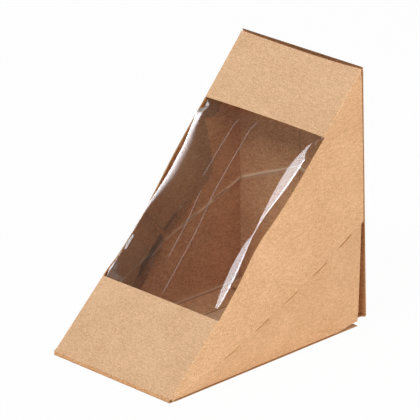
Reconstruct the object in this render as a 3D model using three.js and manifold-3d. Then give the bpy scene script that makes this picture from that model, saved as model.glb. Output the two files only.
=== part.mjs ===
// Sandwich wedge pack: a kraft board carton folded from one sheet, with a clear film
// window glued inside its sloped face and a lid that folds down over its open back.
// Millimetres, +Z up. X runs across the width, the sloped face looks towards -Y, the lid
// closes the +Y side, and the origin is the middle of the base's underside.

import * as THREE from 'three';
import { mergeVertices } from 'three/addons/utils/BufferGeometryUtils.js';
import Module from 'manifold-3d';

const wasm = await Module();
wasm.setup();

// Overall size of the closed pack.
const width = 73.5;
const depth = 119;
const height = 123;

// Sheets.
const boardThickness = 0.45;
const filmThickness = 0.12;
const seatGap = 0.3;
const glueLap = 0.02;

// Folds, as the radius at the middle of the board.
const sideFoldRadius = 0.5;
const toeFoldRadius = 0.5;
const ridgeRadius = 0.6;
const lidFoldRadius = 0.6;
const foldSteps = 3;

// Bands of the sloped face above and below the window.
const topBandLength = 35.5;
const bottomBandLength = 40.5;

// The cut crease that lets the side walls fold in when the empty pack is flat.
const creaseRearHeight = 51.4;
const creaseFirstCut = 35;
const creaseCutLength = 9.8;
const creasePitch = 20.4;
const creaseCutWidth = 0.35;
const creaseNotchSize = 1.4;
const creaseEndBridge = 5;
const creaseShortestCut = 2;

// How far the folded walls spring out along the crease, and in at the window's edges.
const rightBulgeMid = 3.3;
const rightBulgeRear = 3.0;
const leftBulgeMid = 4.8;
const leftBulgeRear = 0.9;
const rightLowerRearShare = 0.5;
const rightEdgeBow = 2.1;
const leftEdgeBow = 4.2;
const bandEdgeSwell = 0.9;

// Flaps.
const glueFlapWidth = 17;
const glueFlapTaper = 5;
const dustFlapWidth = 30;
const dustFlapTaper = 6;
const dustFlapCutPlace = 0.68;
const baseSideInset = 0.35;
const baseRearInset = 1.2;
const baseLapOnBand = 4;
const sideLiftRear = 1.5;
const sideLiftLength = 14;

// Lid.
const lidRestAngle = 2.2;
const lidSideGap = 0.25;
const lidFloorGap = 3.1;
const lidShoulderBack = 2.7;
const lidShoulderRise = 1.0;
const lidShoulderBackReach = 5;
const lidShoulderRiseReach = 1.6;
const tuckFlapLength = 17;
const tuckFlapSideGap = 1.2;
const tuckFlapTaper = 3.5;

// Film window.
const filmGlueMargin = 7;
const filmCornerRadius = 0.8;
const filmMidRadius = 6.5;

const rad = THREE.MathUtils.degToRad;
const lerp = THREE.MathUtils.lerp;

// The sloped face is the common tangent of the toe fold and the ridge fold.
const halfWidth = width / 2;
const toeOuterRadius = toeFoldRadius + boardThickness / 2;
const toe = new THREE.Vector2(-depth / 2 + toeOuterRadius, toeOuterRadius);
const ridge = new THREE.Vector2(depth / 2 - ridgeRadius, height - ridgeRadius);
const toeToRidge = ridge.clone().sub(toe);
const tangentTurn = Math.asin((toeOuterRadius - ridgeRadius) / toeToRidge.length());
const slopeAngle = toeToRidge.angle() - tangentTurn;
const slopeDirection = new THREE.Vector2(Math.cos(slopeAngle), Math.sin(slopeAngle));
const slopeNormal = new THREE.Vector2(-Math.sin(slopeAngle), Math.cos(slopeAngle));
const slopeStart = toe.clone().addScaledVector(slopeNormal, toeOuterRadius);
const slopeEnd = ridge.clone().addScaledVector(slopeNormal, ridgeRadius);
const slopeLength = slopeEnd.distanceTo(slopeStart);
const windowBottom = bottomBandLength;
const windowTop = slopeLength - topBandLength;
const slopeTop = slopeLength - ridgeRadius - seatGap;
const toeY = -depth / 2;
const rearFaceY = depth / 2 - boardThickness - seatGap;
const rearEdgeY = rearFaceY - boardThickness / 2 - sideFoldRadius;
const foldDepth = boardThickness / 2 + sideFoldRadius;
const wallFace = halfWidth - boardThickness / 2;
const flapMiddle = boardThickness * 1.5 - glueLap;
const wallBottom = flapMiddle + sideFoldRadius;

// A point on the sloped face: t along it from the toe, n out from its outer side.
function slopePoint(x, t, n) {
  const y = slopeStart.x + slopeDirection.x * t + slopeNormal.x * n;
  const z = slopeStart.y + slopeDirection.y * t + slopeNormal.y * n;
  return new THREE.Vector3(x, y, z);
}

// A folded sheet as quads on its middle surface, given its thickness at the end.
class Sheet {
  constructor() {
    this.points = [];
    this.quads = [];
  }

  add(point) {
    this.points.push(point);
    return this.points.length - 1;
  }

  quad(a, b, c, d) {
    this.quads.push([a, b, c, d]);
  }

  // Joins rows of vertex numbers into quads; keep says which cells are board.
  grid(rows, keep = () => true) {
    for (let i = 0; i + 1 < rows.length; i += 1) {
      for (let j = 0; j + 1 < rows[i].length; j += 1) {
        if (keep(i, j)) {
          this.quad(rows[i][j], rows[i][j + 1], rows[i + 1][j + 1], rows[i + 1][j]);
        }
      }
    }
  }

  faceNormal([a, b, c, d]) {
    const across = this.points[c].clone().sub(this.points[a]);
    const other = this.points[d].clone().sub(this.points[b]);
    return across.cross(other).normalize();
  }

  // Offsets every point both ways along its mean normal, longer where faces meet at a fold.
  solid(thickness) {
    const sums = this.points.map(() => new THREE.Vector3());
    const counts = this.points.map(() => 0);
    for (const quad of this.quads) {
      const normal = this.faceNormal(quad);
      for (const corner of quad) {
        sums[corner].add(normal);
        counts[corner] += 1;
      }
    }
    const used = new Map();
    const positions = [];
    this.points.forEach((point, index) => {
      if (counts[index] > 0) {
        const miter = counts[index] / sums[index].length();
        const shift = sums[index].clone().normalize().multiplyScalar(miter * thickness / 2);
        used.set(index, positions.length / 3);
        positions.push(...point.clone().add(shift), ...point.clone().sub(shift));
      }
    });
    const top = (index) => used.get(index);
    const under = (index) => used.get(index) + 1;
    const triangles = [];
    const edges = new Map();
    for (const [a, b, c, d] of this.quads) {
      triangles.push(top(a), top(b), top(c), top(a), top(c), top(d));
      triangles.push(under(a), under(c), under(b), under(a), under(d), under(c));
      for (const [from, to] of [[a, b], [b, c], [c, d], [d, a]]) {
        edges.set(`${from}_${to}`, [from, to]);
      }
    }
    for (const [from, to] of edges.values()) {
      if (!edges.has(`${to}_${from}`)) {
        triangles.push(top(to), top(from), under(from), top(to), under(from), under(to));
      }
    }
    const geometry = new THREE.BufferGeometry();
    geometry.setAttribute('position', new THREE.Float32BufferAttribute(positions, 3));
    geometry.setIndex(triangles);
    return geometry;
  }
}

function toManifold(source) {
  const geometry = source.clone();
  geometry.deleteAttribute('normal');
  geometry.deleteAttribute('uv');
  const merged = mergeVertices(geometry, 1e-5);
  const vertProperties = new Float32Array(merged.getAttribute('position').array);
  const triVerts = new Uint32Array(merged.getIndex().array);
  return new wasm.Manifold(new wasm.Mesh({ numProp: 3, vertProperties, triVerts }));
}

function fromManifold(body) {
  const mesh = body.getMesh();
  const geometry = new THREE.BufferGeometry();
  const corners = new Float32Array(mesh.vertProperties);
  geometry.setAttribute('position', new THREE.BufferAttribute(corners, 3));
  geometry.setIndex(new THREE.BufferAttribute(new Uint32Array(mesh.triVerts), 1));
  geometry.computeVertexNormals();
  return geometry;
}

// Turns a profile in the YZ plane from one heading to another on a fold's middle line.
function foldArc(centre, radius, fromAngle, toAngle, steps) {
  const arc = [];
  for (let i = 0; i <= steps; i += 1) {
    const angle = lerp(fromAngle, toAngle, i / steps);
    const spoke = new THREE.Vector2(Math.cos(angle), Math.sin(angle)).multiplyScalar(radius);
    arc.push(spoke.add(centre));
  }
  return arc;
}

// The window's side edges bow in, and the board beside the bands swells out a little.
function edgeShift(t, bow) {
  const open = (t - windowBottom) / (windowTop - windowBottom);
  if (open <= 0) {
    return bandEdgeSwell * THREE.MathUtils.smoothstep(t, 0, windowBottom);
  }
  if (open >= 1) {
    return bandEdgeSwell * THREE.MathUtils.smoothstep(slopeLength - t, 0, slopeLength - windowTop);
  }
  const pull = Math.sin(Math.PI * open ** 0.8);
  return bandEdgeSwell - (bow + bandEdgeSwell) * pull * pull;
}

const rightWall = {
  sign: 1, mid: rightBulgeMid, rear: rightBulgeRear, lowerRear: rightLowerRearShare, bow: rightEdgeBow,
};
const leftWall = { sign: -1, mid: leftBulgeMid, rear: leftBulgeRear, lowerRear: 1, bow: leftEdgeBow };

// Share of the depth behind the toe, and the height of the crease and of the wall's top there.
const depthShare = (y) => (y - toeY) / (rearEdgeY - toeY);
const creaseHeight = (y) => lerp(wallBottom, creaseRearHeight, depthShare(y));
const slopeStationAt = (y) => (y - slopeStart.x + slopeNormal.x * foldDepth) / slopeDirection.x;

// How far a side wall stands out of its flat plane at a point of it.
function wallShift(wall, y, z) {
  const q = depthShare(y);
  const t = slopeStationAt(y);
  const top = slopePoint(0, t, -foldDepth).z;
  const crease = creaseHeight(y);
  const rise = THREE.MathUtils.smoothstep(q, 0, 0.6);
  const bulge = rise * lerp(wall.mid, wall.rear, THREE.MathUtils.smoothstep(q, 0.55, 1));
  if (z >= crease) {
    const part = Math.min((z - crease) / (top - crease), 1);
    return bulge * (1 - part) * (1 + 0.3 * part) + edgeShift(t, wall.bow) * part ** 2;
  }
  const part = Math.min((crease - z) / (crease - wallBottom), 1);
  const rearShare = lerp(1, wall.lowerRear, THREE.MathUtils.smoothstep(q, 0.9, 1));
  return bulge * (1 - part) * (1 + 0.3 * part) * rearShare;
}

// Heights of a wall's points: below the crease as shares down from it, then shares up.
const lowerShares = [1, 0.9, 0.6, 0.3];
const upperShares = [0, 0.25, 0.5, 0.75, 0.94, 1];
const wallRows = lowerShares.length + upperShares.length;
const flapRows = 1 + foldSteps;

// Stations along the slope, with one at each edge of the window.
function spanStations(from, to, count) {
  const stations = [];
  for (let i = 1; i <= count; i += 1) {
    stations.push(lerp(from, to, i / count));
  }
  return stations;
}
const firstStation = 3;
const stations = [
  firstStation,
  ...spanStations(firstStation, windowBottom, 4),
  ...spanStations(windowBottom, windowTop, 12),
  ...spanStations(windowTop, slopeTop, 4),
];

// One side wall at one station, from the glue flap's tip round its fold and up to the slope.
function wallColumn(wall, t) {
  const top = slopePoint(0, t, -foldDepth);
  const y = Math.min(top.y, rearEdgeY);
  const q = depthShare(y);
  const liftStart = 1 - sideLiftLength / depth;
  const bottom = wallBottom + sideLiftRear * THREE.MathUtils.smoothstep(q, liftStart, 1);
  const crease = creaseHeight(y);
  const taper = glueFlapTaper * Math.abs(2 * q - 1) ** 6;
  const tip = halfWidth - glueFlapWidth + taper;
  const points = [new THREE.Vector3(wall.sign * tip, y, bottom - sideFoldRadius)];
  const foldCentre = new THREE.Vector2(wallFace - sideFoldRadius, bottom);
  for (const corner of foldArc(foldCentre, sideFoldRadius, -Math.PI / 2, 0, foldSteps).slice(0, -1)) {
    points.push(new THREE.Vector3(wall.sign * corner.x, y, corner.y));
  }
  const heights = lowerShares.map((share) => lerp(crease, bottom, share));
  heights.push(...upperShares.map((share) => lerp(crease, top.z, share)));
  for (const z of heights) {
    points.push(new THREE.Vector3(wall.sign * (wallFace + wallShift(wall, y, z)), y, z));
  }
  return points;
}

// The sloped face at one station, from the right wall's top over both side folds.
const bandColumns = 5;
function bandColumn(t) {
  const points = [];
  const foldPoint = (wall, step) => {
    const angle = (Math.PI / 2) * (step / foldSteps);
    const x = wallFace + edgeShift(t, wall.bow) - sideFoldRadius * (1 - Math.cos(angle));
    return slopePoint(wall.sign * x, t, -foldDepth + sideFoldRadius * Math.sin(angle));
  };
  for (let step = 1; step <= foldSteps; step += 1) {
    points.push(foldPoint(rightWall, step));
  }
  const right = points[points.length - 1];
  const left = foldPoint(leftWall, foldSteps);
  for (let i = 1; i < bandColumns; i += 1) {
    points.push(right.clone().lerp(left, i / bandColumns));
  }
  for (let step = foldSteps; step >= 1; step -= 1) {
    points.push(foldPoint(leftWall, step));
  }
  return points;
}

// A dust flap folds in behind the open back from a side wall's rear edge.
const dustShares = [0.25, 0.5, 0.75, 1];
function dustFlapRows(wall, rearPoints) {
  const rows = [];
  for (let step = 1; step <= foldSteps; step += 1) {
    const angle = (Math.PI / 2) * (step / foldSteps);
    rows.push(rearPoints.map((point) => {
      const x = Math.abs(point.x) - sideFoldRadius * (1 - Math.cos(angle));
      return new THREE.Vector3(wall.sign * x, point.y + sideFoldRadius * Math.sin(angle), point.z);
    }));
  }
  const heights = rearPoints.map((point) => point.z);
  const low = Math.min(...heights);
  const high = Math.max(...heights);
  const creaseAtTip = creaseRearHeight + dustFlapWidth * Math.tan(slopeAngle / 2);
  const tipHeight = (z) => {
    if (z < creaseRearHeight) {
      return lerp(low + dustFlapTaper, creaseAtTip, (z - low) / (creaseRearHeight - low));
    }
    return lerp(creaseAtTip, high - dustFlapTaper, (z - creaseRearHeight) / (high - creaseRearHeight));
  };
  const folded = rows[rows.length - 1];
  for (const share of dustShares) {
    rows.push(folded.map((point) => {
      const x = lerp(Math.abs(point.x), halfWidth - dustFlapWidth, share);
      return new THREE.Vector3(wall.sign * x, point.y, lerp(point.z, tipHeight(point.z), share));
    }));
  }
  return rows;
}

// Bands, side walls, glue flaps and dust flaps are one folded run of board.
const glueFlapSpan = [0.05, 0.86];
function makeSleeve() {
  const sheet = new Sheet();
  const rows = stations.map((t) => {
    const column = [
      ...wallColumn(rightWall, t),
      ...bandColumn(t),
      ...wallColumn(leftWall, t).reverse(),
    ];
    return column.map((point) => sheet.add(point));
  });
  const last = rows[0].length - 1;
  const side = (j) => Math.min(j, last - 1 - j);
  const isGlueFlap = (j) => side(j) < flapRows;
  const isBand = (j) => side(j) >= flapRows + wallRows;
  sheet.grid(rows, (i, j) => {
    const middle = (stations[i] + stations[i + 1]) / 2;
    if (isGlueFlap(j)) {
      const q = middle / slopeLength;
      return q > glueFlapSpan[0] && q < glueFlapSpan[1];
    }
    return !isBand(j) || middle < windowBottom || middle > windowTop;
  });
  const rear = rows[rows.length - 1];
  const ends = {
    1: rear.slice(flapRows, flapRows + wallRows),
    '-1': rear.slice(-flapRows - wallRows, -flapRows),
  };
  for (const wall of [rightWall, leftWall]) {
    const column = ends[wall.sign].slice(1, -1);
    const flap = dustFlapRows(wall, column.map((index) => sheet.points[index]));
    sheet.grid([column, ...flap.map((row) => row.map((point) => sheet.add(point)))]);
  }
  return toManifold(sheet.solid(boardThickness));
}

// The base turns up round the toe fold and laps the foot of the bottom band.
function makeBase() {
  const sheet = new Sheet();
  const middle = boardThickness / 2;
  const innerHalf = wallFace - sideFoldRadius;
  const path = [
    { point: new THREE.Vector2(depth / 2 - baseRearInset, middle), half: halfWidth - baseSideInset },
    { point: new THREE.Vector2(toe.x + glueFlapTaper, middle), half: halfWidth - baseSideInset },
  ];
  for (const point of foldArc(toe, toeFoldRadius, Math.PI * 1.5, slopeAngle + Math.PI / 2, 2 * foldSteps)) {
    path.push({ point, half: innerHalf });
  }
  const lap = slopePoint(0, baseLapOnBand, -middle);
  path.push({ point: new THREE.Vector2(lap.y, lap.z), half: innerHalf });
  const rows = path.map(({ point, half }) => [-1, -0.5, 0, 0.5, 1].map(
    (share) => sheet.add(new THREE.Vector3(share * half, point.x, point.y)),
  ));
  sheet.grid(rows);
  return toManifold(sheet.solid(boardThickness));
}

// A thin cutter laid along a line in the YZ or XZ plane.
function slit(length, turn, position) {
  const box = new THREE.BoxGeometry(...length);
  box.rotateX(turn.x);
  box.rotateY(turn.y);
  box.translate(position.x, position.y, position.z);
  return toManifold(box);
}

// Cuts along each wall's crease, the notch at its rear end and one cut in each dust flap.
function makeCreaseCuts() {
  const cuts = [];
  const creaseLength = Math.hypot(rearEdgeY - toeY, creaseRearHeight - wallBottom);
  const creaseAngle = Math.atan2(creaseRearHeight - wallBottom, rearEdgeY - toeY);
  const lastCutEnd = creaseLength - creaseEndBridge;
  const reach = 4 * leftBulgeMid;
  for (const { sign } of [rightWall, leftWall]) {
    for (let from = creaseFirstCut; from < lastCutEnd - creaseShortestCut; from += creasePitch) {
      const length = Math.min(creaseCutLength, lastCutEnd - from);
      const middle = from + length / 2;
      const y = toeY + middle * Math.cos(creaseAngle);
      const z = wallBottom + middle * Math.sin(creaseAngle);
      const position = new THREE.Vector3(sign * halfWidth, y, z);
      cuts.push(slit([reach, length, creaseCutWidth], { x: creaseAngle, y: 0 }, position));
    }
    const notchX = sign * (halfWidth + rightBulgeRear / 2);
    const notch = new THREE.Vector3(notchX, rearEdgeY + foldDepth, creaseRearHeight);
    cuts.push(slit([reach / 2, creaseNotchSize, creaseNotchSize], { x: Math.PI / 4, y: 0 }, notch));
    const flapMid = dustFlapWidth * dustFlapCutPlace;
    const flapCut = new THREE.Vector3(
      sign * (halfWidth - flapMid), rearFaceY, creaseRearHeight + flapMid * Math.tan(slopeAngle / 2),
    );
    const size = [creaseCutLength, 3 * boardThickness, creaseCutWidth];
    cuts.push(slit(size, { x: 0, y: sign * slopeAngle / 2 }, flapCut));
  }
  return cuts;
}

function makeCarton() {
  let body = makeSleeve().add(makeBase());
  for (const cut of makeCreaseCuts()) {
    body = body.subtract(cut);
  }
  return fromManifold(body);
}

// The lid's middle line, hanging from the ridge, then turned in as the tuck flap.
function lidPath() {
  const lengths = [0, 0.8, 1.6, 2.6, 4, 6, 9, 14, 22, 34, 50, 68, 86, 104];
  const fall = height - ridgeRadius - lidFloorGap - boardThickness / 2 - lidFoldRadius;
  return [...lengths.filter((length) => length < fall - 4), fall];
}

function makeLid() {
  const sheet = new Sheet();
  const hang = ridgeRadius - boardThickness / 2;
  const lidHalf = halfWidth - lidSideGap;
  const bump = (length, reach) => (length / reach) * Math.exp(1 - length / reach);
  const shares = [-1, -0.85, -0.68, -0.5, -0.33, -0.16, 0, 0.16, 0.33, 0.5, 0.68, 0.85, 1];
  const rows = lidPath().map((length) => shares.map((share) => {
    const crown = Math.cos((Math.PI / 2) * share) ** 1.3;
    const back = lidShoulderBack * crown * bump(length, lidShoulderBackReach);
    const rise = (lidShoulderRise + lidShoulderRiseReach) * crown * bump(length, lidShoulderRiseReach);
    return new THREE.Vector3(share * lidHalf, hang + back, rise - length);
  }));
  const fall = lidPath().at(-1);
  const centre = new THREE.Vector2(hang - lidFoldRadius, -fall);
  for (const corner of foldArc(centre, lidFoldRadius, 0, -Math.PI / 2, foldSteps).slice(1)) {
    rows.push(shares.map((share) => new THREE.Vector3(share * lidHalf, corner.x, corner.y)));
  }
  const tuckBottom = -fall - lidFoldRadius;
  for (const along of [0.1, 0.6, 1]) {
    const half = halfWidth - boardThickness - tuckFlapSideGap - tuckFlapTaper * along ** 2;
    const y = centre.x - tuckFlapLength * along;
    rows.push(shares.map((share) => new THREE.Vector3(share * half, y, tuckBottom)));
  }
  sheet.grid(rows.map((row) => row.map((point) => sheet.add(point))));
  const bead = new THREE.CylinderGeometry(ridgeRadius, ridgeRadius, 2 * lidHalf, 16);
  bead.rotateZ(Math.PI / 2);
  const geometry = fromManifold(toManifold(sheet.solid(boardThickness)).add(toManifold(bead)));
  geometry.rotateX(rad(lidRestAngle));
  return geometry;
}

// The film lies under the bands and bends down the inside of both walls. Its bend is tight
// at the window's corners and wide half way between them, where no board holds it.
function makeFilm() {
  const sheet = new Sheet();
  const inset = seatGap + filmThickness / 2;
  const face = -boardThickness - inset;
  const from = windowBottom - filmGlueMargin;
  const to = windowTop + filmGlueMargin;
  const bendSteps = 5;
  const flatShares = [0.12, 0.3, 0.5, 0.7, 0.88];
  const wallPoint = (wall, t, n, reach = Infinity) => {
    const point = slopePoint(0, t, n);
    const limit = halfWidth - boardThickness - inset + wallShift(wall, point.y, point.z);
    point.x = wall.sign * Math.min(limit, reach);
    return point;
  };
  const edgePoints = (wall, t) => {
    const open = THREE.MathUtils.clamp((t - windowBottom) / (windowTop - windowBottom), 0, 1);
    const radius = lerp(filmCornerRadius, filmMidRadius, Math.sin(Math.PI * open) ** 0.8);
    const points = [wallPoint(wall, t, face - radius - filmGlueMargin), wallPoint(wall, t, face - radius)];
    const start = Math.abs(points[1].x);
    for (let step = 1; step <= bendSteps; step += 1) {
      const angle = (Math.PI / 2) * (step / bendSteps);
      const reach = start - radius * (1 - Math.cos(angle));
      points.push(wallPoint(wall, t, face - radius * (1 - Math.sin(angle)), reach));
    }
    return points;
  };
  const rows = [from, ...stations.filter((t) => t > from + 2 && t < to - 2), to].map((t) => {
    const right = edgePoints(rightWall, t);
    const left = edgePoints(leftWall, t);
    const start = right[right.length - 1];
    const flat = flatShares.map((share) => start.clone().lerp(left[left.length - 1], share));
    return [...right, ...flat, ...left.reverse()].map((point) => sheet.add(point));
  });
  sheet.grid(rows);
  const geometry = sheet.solid(filmThickness);
  geometry.computeVertexNormals();
  return geometry;
}

const kraft = { color: 0xdcb189, roughness: 0.85, metalness: 0 };

function namedMesh(name, geometry, material) {
  const mesh = new THREE.Mesh(geometry, new THREE.MeshStandardMaterial(material));
  mesh.name = name;
  return mesh;
}

const pack = new THREE.Group();
pack.add(namedMesh('carton', makeCarton(), kraft));
pack.add(namedMesh('window_film', makeFilm(), {
  color: 0xf4f7f8, roughness: 0.08, metalness: 0, transparent: true, opacity: 0.3,
}));
const lid = namedMesh('back_lid', makeLid(), kraft);
lid.position.set(0, ridge.x, ridge.y);
pack.add(lid);

export default pack;
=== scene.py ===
"""Sandwich wedge pack: folded kraft board, a clear film window and a hinged back lid."""
import math

import bpy
import numpy as np
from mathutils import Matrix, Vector


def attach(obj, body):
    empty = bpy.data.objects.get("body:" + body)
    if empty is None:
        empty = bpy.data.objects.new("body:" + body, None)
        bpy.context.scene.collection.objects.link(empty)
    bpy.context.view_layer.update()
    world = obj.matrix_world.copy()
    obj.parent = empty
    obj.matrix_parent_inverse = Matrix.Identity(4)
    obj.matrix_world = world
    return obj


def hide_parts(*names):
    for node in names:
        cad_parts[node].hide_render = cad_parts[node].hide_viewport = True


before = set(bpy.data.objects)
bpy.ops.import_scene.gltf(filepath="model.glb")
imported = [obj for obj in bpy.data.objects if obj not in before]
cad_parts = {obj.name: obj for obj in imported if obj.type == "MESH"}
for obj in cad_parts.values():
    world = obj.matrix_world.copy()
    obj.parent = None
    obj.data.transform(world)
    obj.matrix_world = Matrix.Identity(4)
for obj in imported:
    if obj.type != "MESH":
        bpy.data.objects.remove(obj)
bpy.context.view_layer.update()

MM = 0.001

# Driving sizes of the pack in millimetres. The solids have the same, except that their film
# is thicker, their dust flaps are narrower and their crease cuts lie a little further apart.
WIDTH = 73.5
DEPTH = 119.0
HEIGHT = 123.0
BOARD = 0.45
FILM = 0.06
SEAT_GAP = 0.3
GLUE_LAP = 0.02
SIDE_FOLD_RADIUS = 0.5
TOE_FOLD_RADIUS = 0.5
RIDGE_RADIUS = 0.6
LID_FOLD_RADIUS = 0.6
TOP_BAND_LENGTH = 35.5
BOTTOM_BAND_LENGTH = 40.5
CREASE_REAR_HEIGHT = 51.4
CREASE_FIRST_CUT = 31.4
CREASE_CUT_LENGTH = 9.8
CREASE_PITCH = 19.5
CREASE_END_BRIDGE = 6.0
CREASE_SHORTEST_CUT = 2.0
GLUE_FLAP_WIDTH = 17.0
GLUE_FLAP_TAPER = 5.0
DUST_FLAP_WIDTH = 36.6
DUST_FLAP_TAPER = 6.0
BASE_SIDE_INSET = 0.35
BASE_REAR_INSET = 1.2
SIDE_LIFT_REAR = 1.5
SIDE_LIFT_LENGTH = 14.0
LID_REST_ANGLE = 2.2
LID_SIDE_GAP = 0.25
LID_FLOOR_GAP = 3.1
TUCK_FLAP_LENGTH = 17.0
TUCK_FLAP_SIDE_GAP = 1.2
TUCK_FLAP_TAPER = 3.5
FILM_GLUE_MARGIN = 7.0

# The sloped face is the common tangent of the toe fold and the ridge fold.
HALF_WIDTH = WIDTH / 2
TOE_OUTER = TOE_FOLD_RADIUS + BOARD / 2
TOE = (-DEPTH / 2 + TOE_OUTER, TOE_OUTER)
RIDGE = (DEPTH / 2 - RIDGE_RADIUS, HEIGHT - RIDGE_RADIUS)
SLOPE_RUN = math.hypot(RIDGE[0] - TOE[0], RIDGE[1] - TOE[1])
SLOPE_TURN = math.asin((TOE_OUTER - RIDGE_RADIUS) / SLOPE_RUN)
SLOPE_ANGLE = math.atan2(RIDGE[1] - TOE[1], RIDGE[0] - TOE[0]) - SLOPE_TURN
ALONG = (math.cos(SLOPE_ANGLE), math.sin(SLOPE_ANGLE))
OUT = (-math.sin(SLOPE_ANGLE), math.cos(SLOPE_ANGLE))
SLOPE_START = (TOE[0] + OUT[0] * TOE_OUTER, TOE[1] + OUT[1] * TOE_OUTER)
SLOPE_LENGTH = math.sqrt(SLOPE_RUN ** 2 - (TOE_OUTER - RIDGE_RADIUS) ** 2)
WINDOW_BOTTOM = BOTTOM_BAND_LENGTH
WINDOW_TOP = SLOPE_LENGTH - TOP_BAND_LENGTH
SLOPE_TOP = SLOPE_LENGTH - RIDGE_RADIUS - SEAT_GAP
TOE_Y = -DEPTH / 2
REAR_FACE_Y = DEPTH / 2 - BOARD - SEAT_GAP
FOLD_DEPTH = BOARD / 2 + SIDE_FOLD_RADIUS
REAR_EDGE_Y = REAR_FACE_Y - FOLD_DEPTH
WALL_FACE = HALF_WIDTH - BOARD / 2
FLAP_MIDDLE = BOARD * 1.5 - GLUE_LAP
WALL_BOTTOM = FLAP_MIDDLE + SIDE_FOLD_RADIUS
# The sides start this far along the slope, so that the base's lap fits below them.
FIRST_STATION = 0.7


def lerp(a, b, share):
    return a + (b - a) * share


def smoothstep(x, low, high):
    share = min(max((x - low) / (high - low), 0.0), 1.0)
    return share * share * (3 - 2 * share)


def bell(x, centre, reach):
    return math.exp(-((x - centre) / reach) ** 2)


def slope_point(x, t, n):
    """A point t along the sloped face from the toe and n out from its outer side."""
    return (x, SLOPE_START[0] + ALONG[0] * t + OUT[0] * n, SLOPE_START[1] + ALONG[1] * t + OUT[1] * n)


# How far each side wall springs out along its crease, and how its sloped edge runs, in mm.
# mid and rear are the bow at the crease, rise and fade the shares of the depth where it
# grows and goes, lift how far the foot's rear end stands up. The edge bows in by kink.
RIGHT_WALL = {
    "sign": 1, "mid": 5.2, "rear": 2.6, "rise": 0.42, "fade": 0.7, "lower_rear": 0.5,
    "lift": SIDE_LIFT_REAR, "edge_bottom": 0.9, "edge_top": 1.3,
    "kink": 2.1, "kink_at": 0.405, "kink_reach": 0.16,
}
LEFT_WALL = {
    "sign": -1, "mid": 4.8, "rear": 0.9, "rise": 0.5, "fade": 0.55, "lower_rear": 1.0,
    "lift": 0.0, "edge_bottom": -2.2, "edge_top": -1.2,
    "kink": 2.3, "kink_at": 0.31, "kink_reach": 0.3,
}
KINK_FREE_ENDS = 0.12
WALL_ROUNDING = 0.3
REAR_TAPER_FROM = 0.9


def window_share(t):
    return (t - WINDOW_BOTTOM) / (WINDOW_TOP - WINDOW_BOTTOM)


def edge_shift(t, wall):
    """How far the wall's sloped edge stands out at t, less where the window lets it bow in."""
    if t <= WINDOW_BOTTOM:
        return wall["edge_bottom"] * max(t, 0.0) / WINDOW_BOTTOM
    if t >= WINDOW_TOP:
        return wall["edge_top"] * (SLOPE_LENGTH - t) / (SLOPE_LENGTH - WINDOW_TOP)
    share = window_share(t)
    ends = smoothstep(share, 0, KINK_FREE_ENDS) * smoothstep(1 - share, 0, KINK_FREE_ENDS)
    kink = wall["kink"] * ends * bell(share, wall["kink_at"], wall["kink_reach"])
    return lerp(wall["edge_bottom"], wall["edge_top"], share) - kink


def depth_share(y):
    return (y - TOE_Y) / (REAR_EDGE_Y - TOE_Y)


def crease_height(y):
    return lerp(WALL_BOTTOM, CREASE_REAR_HEIGHT, depth_share(y))


def slope_station_at(y):
    return (y - SLOPE_START[0] + OUT[0] * FOLD_DEPTH) / ALONG[0]


def wall_shift(wall, y, z):
    """How far a side wall stands out of its flat plane at a point of it."""
    q = depth_share(y)
    t = slope_station_at(y)
    top = slope_point(0, t, -FOLD_DEPTH)[2]
    crease = crease_height(y)
    rise = math.sin(math.pi / 2 * min(max(q / wall["rise"], 0), 1))
    bulge = rise * lerp(wall["mid"], wall["rear"], smoothstep(q, wall["fade"], 1))
    if z >= crease:
        part = min((z - crease) / (top - crease), 1)
        return bulge * (1 - part) * (1 + WALL_ROUNDING * part) + edge_shift(t, wall) * part ** 2
    part = min((crease - z) / (crease - WALL_BOTTOM), 1)
    rear_share = lerp(1, wall["lower_rear"], smoothstep(q, REAR_TAPER_FROM, 1))
    return bulge * (1 - part) * (1 + WALL_ROUNDING * part) * rear_share


LONGEST_MITER = 1.5
SHARP_ANGLE = 50


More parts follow.
